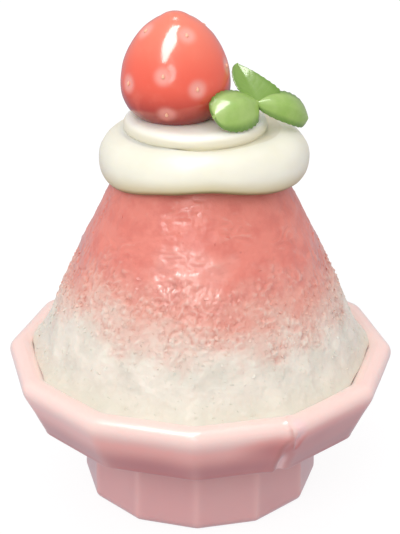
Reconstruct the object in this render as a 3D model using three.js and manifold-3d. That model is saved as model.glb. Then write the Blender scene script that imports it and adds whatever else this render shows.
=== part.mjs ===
// A shaved ice dessert in its bowl: syrup-topped ice heaped in a footed twelve-sided bowl, with a
// two-tier swirl of whipped cream, one strawberry, tip up, and a sprig of three mint leaves.
// Millimetres, +Z up. The front faces -Y, and azimuths are measured from it towards +X.

import * as THREE from 'three';
import { mergeVertices } from 'three/addons/utils/BufferGeometryUtils.js';
import Module from 'manifold-3d';

const wasm = await Module();
wasm.setup();

// ---------------------------------------------------------------- driving dimensions

const GAP = 0.3; // clearance between pieces that touch

const BOWL = {
  sides: 12,
  turn: 0.6, // azimuth of the first corner, degrees
  cornerRadius: 0.157, // of the rounded corners, as a share of the ring's own radius
  rimRadius: 64, // over the corners
  rimHeight: 49.5,
  crownRadius: 59.4, // top of the rim's crown
  innerRadius: 55.6, // the rim's inner edge
  innerHeight: 46.5,
  bandBottom: 29.4,
  bandRadius: 56,
  footRadius: 39.2,
  footBevel: [2.6, 3],
  neckHeight: 19, // where the foot's wall turns into the underside
  floorHeight: 25.5, // the cavity's floor
  recessRadius: 31.5, // the hollow in the foot
  recessDepth: 15,
};

// The fold across the rim, beside the corner at the front right, and its short branch. Each point is
// the degrees past that corner, the corner radius and the height.
const CREASE = {
  radius: 1.1, // of the cutter that presses it in
  proud: 0.35, // how far the cutter's middle stands off the glaze
  fold: [[0.9, 54.8, 45.8], [0.3, 56, 47.8], [-0.5, 57.6, 49], [-1.2, 59.6, 49.5], [-1.9, 61.6, 49.3],
    [-2.7, 63.3, 48.4], [-3.4, 64, 46.6], [-3.7, 62.7, 43.4], [-3.8, 60.8, 39.4], [-3.6, 59, 35],
    [-3.4, 56, 28.8]],
  branch: [[-1.9, 61.6, 49.3], [-2, 63.5, 48.4], [-1.8, 63.9, 46.4], [-1.3, 62.5, 43]],
};

const ICE = {
  wallHeight: 47.2, // below it the heap is held by the bowl
  wallRadius: 54.9,
  bulge: 1.35, // of the cone's flank
  topHeight: 117, // hidden in the cream
  topRadius: 22.1,
  lump: 0.5, // height of the relief
  lumpSize: 9,
  smoothBelow: [50, 55], // the relief fades in over these heights
  smoothAbove: [98, 103], // and out over these, under the cream
};

const CREAM = {
  centreX: 1.4,
  rollRadius: 33.3, // lower tier, half its width
  rollDepth: 31.6, // lower tier, half its depth
  rollTop: 124.2,
  squareness: 0.72, // below 1 the roll's lower half is fuller
  skirtHeight: 108.7, // mean height of the lower edge, which sags at both sides
  skirtSag: 3.4,
  creaseHeight: 122.4,
  tierX: -1.5, // the upper tier's centre
  tierRadius: 21.9,
  tierTop: 128.2,
  tierEdge: [3.9, 2.9], // rounding of the upper tier's edge, across and up
};

const BERRY = {
  centre: new THREE.Vector3(-7.6, 0, 142.6),
  halfHeight: 17.75,
  radius: 16.76,
  taper: 0.169, // slimmer towards the tip, which points up
  shoulder: 2.35, // roundness of the calyx end
  dimpleDepth: 0.45,
  dimpleRadius: 2.2,
  seed: new THREE.Vector3(0.5, 0.75, 0.38), // half width, length and thickness
};
// Rings of four seeds: height above the berry's centre, as a share of its half height, and first azimuth.
const SEED_RINGS = [[0.75, 22], [0.13, -15], [-0.1, 30], [-0.55, -12]];

const SPRIG = {
  node: new THREE.Vector3(17.4, -6.4, 134.2), // where the leaves meet
  stemRadius: 1.1,
  stemFoot: new THREE.Vector3(15.4, -5.6, 125.8),
  thickness: 0.9, // of a leaf along its midrib
  edge: 0.5, // of a leaf along its edge
};
// Each leaf's tip, the way its right-hand edge lies, its half widths with how early and late they swell,
// how far it arches, how far its halves fold up from the midrib (or down), and its waviness.
const LEAVES = [
  { tip: new THREE.Vector3(4.9, -17.8, 133.2), side: new THREE.Vector3(-0.2, 0.66, 0.72),
    left: [7, 0.45, 0.4], right: [6.6, 0.5, 0.4], arch: 2.2, fold: -1.2, wave: 0.2 },
  { tip: new THREE.Vector3(11.3, 3.4, 143.4), side: new THREE.Vector3(0.96, 0.25, -0.11),
    left: [4.2, 0.5, 0.6], right: [8.6, 0.12, 1.25], arch: 0.3, fold: 1.4, wave: 0.15 },
  { tip: new THREE.Vector3(33.4, 2.5, 126.2), side: new THREE.Vector3(-0.22, -0.72, -0.65),
    left: [5.8, 0.6, 0.4], right: [4.2, 0.6, 0.4], arch: 4.1, fold: -0.8, wave: 0.25 },
];

// ---------------------------------------------------------------- helpers

const radians = THREE.MathUtils.degToRad;
const lerp = THREE.MathUtils.lerp;

/** Closes a geometry: shared vertices merged, triangles that have collapsed dropped. */
function closed(geometry) {
  for (const name of ['normal', 'uv']) geometry.deleteAttribute(name);
  const merged = mergeVertices(geometry, 1e-4);
  const index = merged.getIndex().array;
  const kept = [];
  for (let i = 0; i < index.length; i += 3) {
    const [a, b, c] = [index[i], index[i + 1], index[i + 2]];
    if (a !== b && b !== c && c !== a) kept.push(a, b, c);
  }
  merged.setIndex(kept);
  return merged;
}

/** A manifold-3d solid with the form of a closed geometry. */
function solid(geometry) {
  const shell = closed(geometry);
  return new wasm.Manifold(new wasm.Mesh({
    numProp: 3,
    vertProperties: new Float32Array(shell.getAttribute('position').array),
    triVerts: new Uint32Array(shell.getIndex().array),
  }));
}

/** The geometry of a manifold-3d solid. */
function geometryOf(manifold) {
  const mesh = manifold.getMesh();
  const geometry = new THREE.BufferGeometry();
  geometry.setAttribute('position', new THREE.BufferAttribute(new Float32Array(mesh.vertProperties), 3));
  geometry.setIndex([...mesh.triVerts]);
  return geometry;
}

/** Evenly spread rays round the axis. */
function roundRays(count) {
  return Array.from({ length: count }, (_, i) => ({ azimuth: (2 * Math.PI * i) / count, reach: 1 }));
}

/** Rays to the rounded corners of a regular polygon whose sharp corners lie at reach 1. */
function polygonRays({ sides, turn, cornerRadius }) {
  const half = Math.PI / sides;
  const arcCentre = 1 - cornerRadius / Math.cos(half);
  const rays = [];
  for (let corner = 0; corner < sides; corner += 1) {
    for (const step of [-1, 0, 1]) {
      const out = arcCentre + cornerRadius * Math.cos(step * half);
      const aside = cornerRadius * Math.sin(step * half);
      const azimuth = radians(turn) + 2 * half * corner + Math.atan2(aside, out);
      rays.push({ azimuth, reach: Math.hypot(out, aside) });
    }
  }
  return rays;
}

/** How far the bowl's ring reaches at an azimuth, as a share of its sharp corner radius. */
function bowlReach(azimuth) {
  const half = Math.PI / BOWL.sides;
  const fromFirst = azimuth - radians(BOWL.turn) + 2 * Math.PI;
  const flat = Math.cos(half) / Math.cos((fromFirst % (2 * half)) - half);
  const corner = 1 - BOWL.cornerRadius * (1 / Math.cos(half) - 1);
  return Math.min(flat, corner);
}

/**
 * A closed body round the Z axis: sectionAt(azimuth) gives the [radius, z] points of its section, from the
 * axis and back to it, going up along the outside, and each ray scales the radius on its side.
 */
function turned(sectionAt, rays) {
  const first = sectionAt(rays[0].azimuth);
  const geometry = new THREE.LatheGeometry(first.map(([r, z]) => new THREE.Vector2(r, z)), rays.length);
  geometry.rotateX(Math.PI / 2);
  const position = geometry.getAttribute('position');
  for (let i = 0; i <= rays.length; i += 1) {
    const { azimuth, reach } = rays[i % rays.length];
    sectionAt(azimuth).forEach(([r, z], j) => {
      const [x, y] = [r * reach * Math.sin(azimuth), -r * reach * Math.cos(azimuth)];
      position.setXYZ(i * first.length + j, x, y, z);
    });
  }
  return geometry;
}

/** Points of a smooth curve through the given [radius, z] points. */
function spline(points, steps) {
  const curve = new THREE.SplineCurve(points.map(([r, z]) => new THREE.Vector2(r, z)));
  return curve.getPoints(steps).map(({ x, y }) => [x, y]);
}

/** Points of an elliptic arc, angles in degrees from straight out, upwards. */
function arc([r, z], [width, height], from, to, steps) {
  return Array.from({ length: steps + 1 }, (_, i) => {
    const angle = radians(lerp(from, to, i / steps));
    return [r + width * Math.cos(angle), z + height * Math.sin(angle)];
  });
}

/** Smooth noise from -1 to 1 over space, the same on every run. */
function noise(x, y, z) {
  const corner = (i, j, k) => {
    const n = Math.sin(i * 127.1 + j * 311.7 + k * 74.7) * 43758.5453;
    return 2 * (n - Math.floor(n)) - 1;
  };
  const [i, j, k] = [x, y, z].map(Math.floor);
  const [u, v, w] = [x - i, y - j, z - k].map((t) => t * t * (3 - 2 * t));
  const edge = (b, c) => lerp(corner(i, b, c), corner(i + 1, b, c), u);
  return lerp(lerp(edge(j, k), edge(j + 1, k), v), lerp(edge(j, k + 1), edge(j + 1, k + 1), v), w);
}

// ---------------------------------------------------------------- bowl

/** The rim's inner slope and the cavity, from the crown down to the floor at the axis. */
function cavitySection() {
  const { crownRadius, rimHeight, innerRadius, innerHeight, floorHeight } = BOWL;
  const edge = [innerRadius, innerHeight];
  const lip = spline([[crownRadius, rimHeight], [57.4, 49], [56, 47.9], edge], 4);
  const wall = spline([edge, [53.4, 41.5], [49.6, 34], [43, 28.6], [34, floorHeight]], 6);
  return [...lip, ...wall.slice(1), [0, floorHeight]];
}

/** The bowl's section over a corner: foot, underside, flaring band, crowned rim and cavity. */
function bowlSection() {
  const { recessRadius, recessDepth, footRadius, footBevel, neckHeight } = BOWL;
  const [cove, chamfer] = [2.5, 0.8];
  const foot = [
    [0, recessDepth], [recessRadius - cove, recessDepth], [recessRadius, recessDepth - cove],
    [recessRadius, chamfer], [recessRadius + chamfer, 0],
    ...arc([footRadius - footBevel[0], footBevel[1]], footBevel, -90, 0, 3),
    [footRadius - 0.3, neckHeight],
  ];
  const underside = spline([[40.2, 22.4], [45, 25.8], [51, 27.9], [55, 28.7]], 4);
  const band = spline([[BOWL.bandRadius, BOWL.bandBottom], [58.6, 34], [60.7, 39.2], [62.7, 44],
    [63.8, 46], [BOWL.rimRadius, 47.4], [63.1, 48.7], [61.5, 49.4], [BOWL.crownRadius, BOWL.rimHeight]], 12);
  return [...foot, ...underside, ...band, ...cavitySection().slice(1)];
}

/** A thin round cutter along a line on the bowl's outside: degrees past the corner, corner radius, z. */
function creaseCutter(line) {
  const points = line.map(([aside, r, z]) => {
    const angle = radians(BOWL.turn + 360 / BOWL.sides + aside);
    const reach = (r + CREASE.proud) * bowlReach(angle);
    return new THREE.Vector3(reach * Math.sin(angle), -reach * Math.cos(angle), z + CREASE.proud);
  });
  const section = new THREE.Shape().absarc(0, 0, CREASE.radius, 0, 2 * Math.PI);
  const extrudePath = new THREE.CatmullRomCurve3(points);
  return new THREE.ExtrudeGeometry(section, { extrudePath, steps: 12, curveSegments: 6 });
}

function bowl() {
  const body = solid(turned(bowlSection, polygonRays(BOWL)));
  const cuts = [CREASE.fold, CREASE.branch].map((line) => solid(creaseCutter(line)));
  return geometryOf(cuts.reduce((left, cut) => left.subtract(cut), body));
}

// ---------------------------------------------------------------- shaved ice

/** Radius of the heap's smooth cone at a height above the bowl. */
function iceRadius(z) {
  const { wallHeight, wallRadius, topHeight, topRadius, bulge } = ICE;
  const share = (z - wallHeight) / (topHeight - wallHeight);
  return lerp(wallRadius, topRadius, share) + bulge * Math.sin(Math.PI * THREE.MathUtils.clamp(share, 0, 1));
}

/** Relief of packed, half-melted ice, fading out under the cream and against the bowl. */
function iceRelief(azimuth, r, z) {
  const { lump, lumpSize, smoothBelow, smoothAbove } = ICE;
  const place = [r * Math.sin(azimuth), -r * Math.cos(azimuth), z].map((length) => length / lumpSize);
  const fine = noise(...place.map((length) => 2.3 * length));
  const fade = THREE.MathUtils.smoothstep(z, ...smoothBelow)
    * (1 - THREE.MathUtils.smoothstep(z, ...smoothAbove));
  return lump * fade * (noise(...place) + 0.6 * fine);
}

/** The heap's section: the part held in the cavity, the cone, and the flat top inside the cream. */
function iceSection(azimuth) {
  const inBowl = cavitySection().reverse().slice(0, -1)
    .map(([r, z]) => [Math.max(0, r * bowlReach(azimuth) - GAP), z + GAP])
    .map(([r, z]) => [Math.min(r, iceRadius(z)), z]);
  const [rows, edge] = [23, 1.5];
  const cone = Array.from({ length: rows + 1 }, (_, i) => {
    const z = lerp(BOWL.rimHeight + edge, ICE.topHeight - edge, i / rows);
    const r = iceRadius(z);
    return [r + iceRelief(azimuth, r, z), z];
  });
  return [...inBowl, ...cone, [ICE.topRadius - edge, ICE.topHeight], [0, ICE.topHeight]];
}

function shavedIce() {
  return closed(turned(iceSection, roundRays(60)));
}

// ---------------------------------------------------------------- whipped cream

/** Height of the cream's wavy lower edge. */
function skirt(azimuth) {
  const { skirtHeight, skirtSag } = CREAM;
  const wave = 0.5 * Math.cos(5 * azimuth - 0.6) + 0.3 * Math.sin(8 * azimuth);
  return skirtHeight + skirtSag * Math.cos(2 * azimuth) + wave;
}

/** Distance from the axis to an off-centre ellipse, along an azimuth. */
function ellipseReach(azimuth, centreX, halfWidth, halfDepth) {
  const round = (halfWidth * halfDepth)
    / Math.hypot(halfDepth * Math.sin(azimuth), halfWidth * Math.cos(azimuth));
  return round + centreX * Math.sin(azimuth);
}

/** The lower roll's outside, from where it leaves the ice round to the crease; squarer below. */
function rollSection(azimuth) {
  const low = skirt(azimuth);
  const outer = ellipseReach(azimuth, CREAM.centreX, CREAM.rollRadius, CREAM.rollDepth);
  const halfHeight = (CREAM.rollTop - low) / 2;
  const halfWidth = Math.min(9, halfHeight + 1.2);
  const at = (degrees) => {
    const [out, up] = [Math.cos(radians(degrees)), Math.sin(radians(degrees))];
    const square = up < 0 ? CREAM.squareness : 1;
    return [outer - halfWidth + halfWidth * Math.sign(out) * Math.abs(out) ** square,
      low + halfHeight + halfHeight * up];
  };
  let start = -90;
  while (at(start)[0] < iceRadius(at(start)[1]) + 2 * GAP) start += 1;
  const steps = 9;
  return Array.from({ length: steps + 1 }, (_, i) => at(lerp(start, 94, i / steps)));
}

/** The cream's section: hollow over the ice, then the big lower roll and the smaller upper tier. */
function creamSection(azimuth) {
  const roll = rollSection(azimuth);
  const tier = ellipseReach(azimuth, CREAM.tierX, CREAM.tierRadius, CREAM.tierRadius);
  const overIce = [0, 0.33, 0.67, 1].map((share) => {
    const z = lerp(ICE.topHeight - 1.2, roll[0][1] + 0.8, share);
    return [iceRadius(z) + 1.5 * GAP, z];
  });
  const { creaseHeight, tierTop, tierEdge } = CREAM;
  return [
    [0, ICE.topHeight + GAP], [ICE.topRadius - 1.2, ICE.topHeight + GAP],
    ...overIce, ...roll,
    [tier + 0.5, creaseHeight + 0.3],
    ...arc([tier - 0.8 * tierEdge[0], tierTop - tierEdge[1]], tierEdge, -35, 90, 4),
    [0.55 * tier, tierTop + 0.3], [0, tierTop + 0.4],
  ];
}

function whippedCream() {
  const body = solid(turned(creamSection, roundRays(48)));
  const socket = solid(strawberryBody(GAP));
  const stemHole = solid(stem(SPRIG.stemRadius + GAP, GAP));
  return geometryOf(body.subtract(socket).subtract(stemHole));
}

// ---------------------------------------------------------------- strawberry

/** Radius of the berry at a height from -1 (calyx end, down) to 1 (tip, up). */
function berryRadius(t) {
  const roundness = t < 0 ? BERRY.shoulder : 2;
  return BERRY.radius * Math.sqrt(Math.max(0, 1 - Math.abs(t) ** roundness)) * (1 - BERRY.taper * t);
}

/** The berry's skin at an azimuth and height, in its own frame, without dimples. */
function berrySkin(azimuth, t) {
  const r = berryRadius(t);
  return new THREE.Vector3(r * Math.sin(azimuth), -r * Math.cos(azimuth), t * BERRY.halfHeight);
}

function seedPlaces() {
  return SEED_RINGS.flatMap(([t, first]) => [0, 1, 2, 3].map((quarter) => {
    const azimuth = radians(first + 90 * quarter + 5 * Math.sin(7 * quarter + 9 * t));
    return { azimuth, t, point: berrySkin(azimuth, t) };
  }));
}

/** The berry as a closed geometry in place, grown by a margin on every side. */
function strawberryBody(margin) {
  const rows = 20;
  const places = seedPlaces();
  const skinPoint = (azimuth, row) => {
    const t = -Math.cos((Math.PI * row) / rows);
    const z = t * (BERRY.halfHeight + margin);
    if (row === 0 || row === rows) return [0, z];
    const skin = berrySkin(azimuth, t);
    const near = Math.min(...places.map(({ point }) => point.distanceTo(skin))) / BERRY.dimpleRadius;
    return [berryRadius(t) + margin - BERRY.dimpleDepth * Math.exp(-1.5 * near * near), z];
  };
  const section = (azimuth) => Array.from({ length: rows + 1 }, (_, row) => skinPoint(azimuth, row));
  return turned(section, roundRays(42)).translate(...BERRY.centre.toArray());
}

/** One seed, lying in its dimple with its long side up the berry. */
function seed({ azimuth, t, point }) {
  const step = 0.02;
  const up = berrySkin(azimuth, t + step).sub(berrySkin(azimuth, t - step)).normalize();
  const side = new THREE.Vector3(Math.cos(azimuth), Math.sin(azimuth), 0);
  const out = new THREE.Vector3().crossVectors(side, up);
  const geometry = new THREE.SphereGeometry(1, 6, 4);
  geometry.scale(BERRY.seed.x, BERRY.seed.y, BERRY.seed.z);
  geometry.applyMatrix4(new THREE.Matrix4().makeBasis(side, up, out));
  const sunk = point.clone().addScaledVector(out, -BERRY.dimpleDepth + 0.1);
  return geometry.translate(...sunk.add(BERRY.centre).toArray());
}

function strawberry() {
  const body = solid(strawberryBody(0));
  return geometryOf(seedPlaces().reduce((berry, place) => berry.add(solid(seed(place))), body));
}

// ---------------------------------------------------------------- mint sprig

/** A closed flat sheet, v from -1 to 1 across, u from 0 to 1 along: both faces have the same triangles. */
function sheet(across, along) {
  const face = new THREE.PlaneGeometry(2, 1, across, along);
  const flat = face.getAttribute('position');
  const [count, columns] = [flat.count, across + 1];
  const grid = [...face.getIndex().array];
  const around = [
    ...Array.from({ length: across }, (_, i) => i),
    ...Array.from({ length: along }, (_, i) => i * columns + across),
    ...Array.from({ length: across }, (_, i) => count - 1 - i),
    ...Array.from({ length: along }, (_, i) => (along - i) * columns),
  ];
  const walls = around.flatMap((a, i) => {
    const b = around[(i + 1) % around.length];
    return [a, b, b + count, a, b + count, a + count];
  });
  const back = grid.map((vertex) => vertex + count).reverse();
  const points = [1, -1].flatMap((side) => Array.from({ length: count }, (_, i) => (
    [flat.getX(i), flat.getY(i) + 0.5, side / 2]))).flat();
  const geometry = new THREE.BufferGeometry();
  geometry.setAttribute('position', new THREE.Float32BufferAttribute(points, 3));
  geometry.setIndex([...grid, ...walls, ...back]);
  return geometry;
}

/** Half width of a leaf at u, greatest where u is early / (early + late). */
function leafWidth(u, [halfWidth, early, late]) {
  const peak = early / (early + late);
  return 0.3 + halfWidth * (u / peak) ** early * ((1 - u) / (1 - peak)) ** late;
}

/**
 * A leaf from the sprig's node to its tip. side points to its right-hand edge; arch lifts its middle and
 * fold raises both halves from the midrib, along the leaf's own upward direction.
 */
function leaf({ tip, side, left, right, arch, fold, wave }) {
  const base = SPRIG.node;
  const length = tip.distanceTo(base);
  const forward = tip.clone().sub(base).normalize();
  const aside = side.clone().addScaledVector(forward, -side.dot(forward)).normalize();
  const up = new THREE.Vector3().crossVectors(aside, forward);
  const geometry = sheet(6, 10);
  const position = geometry.getAttribute('position');
  for (let i = 0; i < position.count; i += 1) {
    const [v, u, face] = [position.getX(i), position.getY(i), position.getZ(i)];
    const width = leafWidth(u, v < 0 ? left : right);
    const thickness = lerp(SPRIG.thickness, SPRIG.edge, Math.abs(v));
    const middle = Math.sin(Math.PI * u);
    const lift = arch * middle + fold * Math.abs(v) ** 1.5 * middle ** 0.5
      + wave * Math.abs(v) * Math.sin(3 * Math.PI * u + v);
    const point = base.clone()
      .addScaledVector(forward, u * length)
      .addScaledVector(aside, v * width)
      .addScaledVector(up, lift + face * thickness);
    position.setXYZ(i, point.x, point.y, point.z);
  }
  return geometry;
}

/** The sprig's stem, from the leaves' node down to its foot in the cream and a little further. */
function stem(radius, further) {
  const { node, stemFoot } = SPRIG;
  const length = node.distanceTo(stemFoot) + further;
  const upwards = node.clone().sub(stemFoot).normalize();
  const middle = node.clone().addScaledVector(upwards, -length / 2);
  const turn = new THREE.Quaternion().setFromUnitVectors(new THREE.Vector3(0, 1, 0), upwards);
  const geometry = new THREE.CylinderGeometry(0.9 * radius, radius, length, 8);
  return geometry.applyQuaternion(turn).translate(...middle.toArray());
}

function mintSprig() {
  const knot = new THREE.SphereGeometry(1.35 * SPRIG.stemRadius, 8, 6);
  knot.translate(...SPRIG.node.toArray());
  const body = solid(stem(SPRIG.stemRadius, 0)).add(solid(knot));
  return geometryOf(LEAVES.reduce((sprig, one) => sprig.add(solid(leaf(one))), body));
}

// ---------------------------------------------------------------- the dessert

const pieces = [
  ['bowl', bowl, { color: 0xe2b3ac, roughness: 0.3 }],
  ['shaved_ice', shavedIce, { color: 0xeba597, roughness: 0.45 }],
  ['whipped_cream', whippedCream, { color: 0xfbf8eb, roughness: 0.5 }],
  ['strawberry', strawberry, { color: 0xf16c59, roughness: 0.25 }],
  ['mint_sprig', mintSprig, { color: 0xa1c163, roughness: 0.35 }],
];

const dessert = new THREE.Group();
for (const [name, make, finish] of pieces) {
  const mesh = new THREE.Mesh(make(), new THREE.MeshStandardMaterial({ ...finish, metalness: 0 }));
  mesh.name = name;
  dessert.add(mesh);
}

export default dessert;
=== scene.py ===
"""The looks of a shaved ice dessert: bowl, syrup-soaked ice, whipped cream, strawberry and mint.

Lengths are in millimetres, and piece_of() turns them into metres. The front faces -Y, and azimuths are
measured from it towards +X, in radians. The main dimensions are those of the solids that the pieces stand
for. The bowl's corners, rim and fold, the heap's foot, the dimples and the leaves' thickness and curl
differ, and the cream has no seat for the strawberry.
"""
import math

import bpy
import numpy as np
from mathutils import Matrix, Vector


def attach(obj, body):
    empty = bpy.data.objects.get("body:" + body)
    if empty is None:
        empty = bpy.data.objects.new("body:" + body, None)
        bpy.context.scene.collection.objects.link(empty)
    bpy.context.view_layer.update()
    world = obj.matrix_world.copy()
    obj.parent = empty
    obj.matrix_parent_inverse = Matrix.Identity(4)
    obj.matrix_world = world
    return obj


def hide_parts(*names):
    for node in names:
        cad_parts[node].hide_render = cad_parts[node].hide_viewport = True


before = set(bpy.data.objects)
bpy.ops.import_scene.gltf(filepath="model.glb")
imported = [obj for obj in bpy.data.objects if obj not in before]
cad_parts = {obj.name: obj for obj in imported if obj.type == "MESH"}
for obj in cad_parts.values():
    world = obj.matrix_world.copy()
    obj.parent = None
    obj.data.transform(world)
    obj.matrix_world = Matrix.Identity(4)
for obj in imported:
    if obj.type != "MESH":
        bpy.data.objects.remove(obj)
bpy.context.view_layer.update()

# -------- sizes

MM = 0.001
GAP = 0.3  # clearance between the solids

BOWL_SIDES = 12
BOWL_SIDE_STEPS = 32  # points along a side
HALF_SIDE = math.pi / BOWL_SIDES  # azimuth from a corner to the middle of a side
BOWL_TURN = math.radians(0.6)  # azimuth of the first corner
FRONT_RIGHT = 2 * math.pi / BOWL_SIDES  # from the first corner to the one at the front right
CORNER_RADIUS = 0.12  # of the rounded corners, as a share of a ring's own radius
CRISP_RADIUS = 0.06  # the same on the foot
RIM_HEIGHT, CROWN_RADIUS = 49.5, 59.4
INNER_RADIUS, INNER_HEIGHT = 55.6, 46.5
BAND_RADIUS, BAND_BOTTOM = 56.0, 29.4
FOOT_RADIUS, FOOT_BEVEL, NECK_HEIGHT = 39.2, (2.6, 3.0), 19.0
RECESS_RADIUS, RECESS_DEPTH, FLOOR_HEIGHT = 31.5, 15.0, 25.5
AXIS_RADIUS = 6  # of the last ring before a surface closes at the bowl's axis
FINE_DEGREES, FINE_STEP = (22, 38), 0.25  # azimuths where the bowl has more points, for the fold
# Lines of the fold at the front right: degrees past the corner there, corner radius and height. The fold
# itself and its branch down the band stand out, and the hollow beside them and the pleat below are sunk.
FOLD = [(0.9, 54.8, 45.8), (-0.6, 57.4, 49), (-2, 59.4, 49.5), (-2.8, 61, 49.4), (-3, 62.6, 48.8),
        (-2.4, 63.4, 46.9), (-1.6, 62.7, 44.3), (-0.6, 61.2, 40.9), (0.2, 59.8, 37.6)]
BRANCH = [(-2.4, 63.4, 46.9), (-3.2, 62, 42.7), (-4, 60.9, 40.2), (-4.2, 59, 35.8), (-4.2, 56.8, 31),
          (-4.2, 55.6, 28.9)]
PLEAT = [(-2.3, 60, 38.4), (-2.6, 58.2, 33.9), (-2.8, 57.3, 31.9), (-2.8, 56, 29.2)]
HOLLOW = [(-0.6, 62.6, 48.6), (0.3, 63.7, 46.8), (0.2, 62.6, 43), (0.4, 60.6, 39)]

ICE_WALL, ICE_TOP = (54.9, 47.2), (22.1, 117.0)  # radius and height where the cone starts and ends
ICE_BULGE = 1.35  # of the cone's flank
ICE_RAYS, ICE_ROWS = 610, 154
CAVITY_STEP, CAVITY_LEFT = 4, 8  # the heap follows every fourth point of the cavity, but not those on the rim
CONE_FOOT, CONE_SHOULDER = 48.4, 112.5  # heights between which the heap has its fine rows
SPILL_BASE, SPILL_TOP, SPILL_RADIUS = 49, 55.5, 58.2  # where the heap's foot spreads towards the rim
CHINK_AZIMUTH, CHINK_WIDTH, CHINK_REST = 1.32, 0.33, 0.15  # where it spreads less, and the share left there
SYRUP_LINE, SYRUP_FADE = 77.2, 32  # height where the syrup is halfway, and the height of the change
FLAKE_COUNT = 5500

CREAM_CENTRE, ROLL_RADIUS, ROLL_DEPTH, ROLL_TOP = 1.4, 33.3, 31.6, 124.2
SQUARENESS = 0.72  # below 1 the roll's lower half is fuller
SKIRT_HEIGHT, SKIRT_SAG = 108.7, 3.4  # mean height of the lower edge, which sags at both sides
CREASE_HEIGHT, TIER_CENTRE, TIER_RADIUS, TIER_TOP, TIER_EDGE = 122.4, -1.5, 21.9, 128.2, (3.9, 2.9)
CREAM_RAYS, ROLL_ROWS = 300, 44
INNER_ROWS = 6  # the cream's first rows, which lie over the ice
TIER_ROWS = 39  # its last rows, from where the roll ends to the middle of the top

BERRY_CENTRE = np.array([-7.6, 0.0, 142.6])
BERRY_HALF, BERRY_RADIUS, BERRY_TAPER, BERRY_SHOULDER = 17.75, 16.76, 0.169, 2.35
SEED_RINGS = [(0.75, 22), (0.13, -15), (-0.1, 30), (-0.55, -12)]  # height share, first azimuth
SEED_SIZE = np.array([0.5, 0.75, 0.38])  # half width, length and thickness
SEED_LIFT = 0.12  # of a seed's middle over the bottom of its dimple
DIMPLE_DEPTH, DIMPLE_RADIUS, SPOT_RADIUS = 0.22, 2.5, 2.8
BERRY_TIP = 0.6  # how far the tip is drawn out
BERRY_RAYS, BERRY_ROWS = 200, 162

SPRIG_NODE = np.array([17.4, -6.4, 134.2])
STEM_FOOT, STEM_RADIUS = np.array([15.4, -5.6, 125.8]), 1.1
LEAF_MIDRIB, LEAF_EDGE, LEAF_PLUMPNESS = 0.9, 0.5, 2.3  # thicknesses, and how much thicker than these
LEAF_STEPS, STEM_STEPS = 72, 24
VEINS, VEIN_SLANT = 6.5, 2.1  # side veins to a leaf, and how far they run forward towards its edge
# Each leaf's tip, the way its right-hand edge lies, its half widths with how early and late they swell, how
# far it arches, how far its halves fold up from the midrib, its waviness, and its painted shade, 1 the
# darkest.
LEAVES = [
    dict(tip=(4.9, -17.8, 133.2), side=(-0.2, 0.66, 0.72), left=(7, 0.34, 0.4), right=(6.6, 0.5, 0.4),
         arch=2.9, fold=-3.0, wave=0.2, painted_leaf_shade=0),
    dict(tip=(11.3, 3.4, 143.4), side=(0.96, 0.25, -0.11), left=(4.2, 0.5, 0.6), right=(8.6, 0.12, 1.25),
         arch=0.3, fold=1.4, wave=0.15, painted_leaf_shade=0.75),
    dict(tip=(33.4, 2.5, 126.2), side=(-0.22, -0.72, -0.65), left=(5.8, 0.6, 0.4), right=(4.2, 0.6, 0.4),
         arch=4.1, fold=-2.2, wave=0.25, painted_leaf_shade=0.1),
]

FLOOR_REACH = 3.0  # metres
FLOOR_GREY, FLOOR_GLOW = (0.15, 0.15, 0.15, 1), 0.87
SKY_COLOURS = ((0.46, 0.44, 0.49), (0.7, 0.7, 0.71), (1.06, 1.06, 1.06))  # low, at the horizon, and high
SKY_IN_GLOSS = (0.42, 0.39, 0.45)  # the sky in reflections, where the panels add the bright parts
KEY_POWER, KEY_HEIGHT, KEY_AZIMUTH = 1.14, math.radians(35), math.radians(-22)
KEY_SPREAD = math.radians(38)
AIM = (0, 0, 0.09)  # what the panels face, in metres
FILL_TINT = (0.88, 0.84, 1)

CAMERA_TILT, CAMERA_AZIMUTH = math.radians(23.4), math.radians(2.075)
CAMERA_TARGET, CAMERA_DISTANCE = (0, 0, 76.1 * MM), 512 * MM
FOCAL_PIXELS, PICTURE_HEIGHT, SENSOR = 1569.8, 534, 36.0

# -------- numbers


def lerp(a, b, t):
    """a where t is 0 and b where it is 1."""
    return a + (b - a) * t


def smoothstep(t, low, high):
    """0 up to low and 1 from high on, or the other way round where high is the smaller."""
    t = np.clip((t - low) / (high - low), 0, 1)
    return t * t * (3 - 2 * t)


def hump(values, middle, width):
    """1 at the middle, falling smoothly to 0 at both sides."""
    return np.exp(-(((values - middle) / width) ** 2))


def unit(v):
    """Vectors scaled to a length of 1."""
    v = np.asarray(v, float)
    return v / np.linalg.norm(v, axis=-1, keepdims=True)


def spline(points, steps):
    """Points of a smooth curve through the given ones, the same number of steps along each stretch."""
    p = np.asarray(points, float)
    p = np.concatenate([p[:1], p, p[-1:]])
    t = np.linspace(0, len(points) - 1, steps + 1)
    i = np.minimum(t.astype(int), len(points) - 2)
    t = (t - i)[:, None]
    a, b, c, d = (p[i + k] for k in range(4))
    bend = (2 * a - 5 * b + 4 * c - d) * t**2 + (3 * b - a - 3 * c + d) * t**3
    return 0.5 * (2 * b + (c - a) * t + bend)


def arc(centre, size, start, stop, steps):
    """Points of an elliptic arc in a section, angles in degrees from straight out, upwards."""
    angle = np.radians(np.linspace(start, stop, steps + 1))
    return np.stack([centre[0] + size[0] * np.cos(angle), centre[1] + size[1] * np.sin(angle)], -1)


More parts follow.
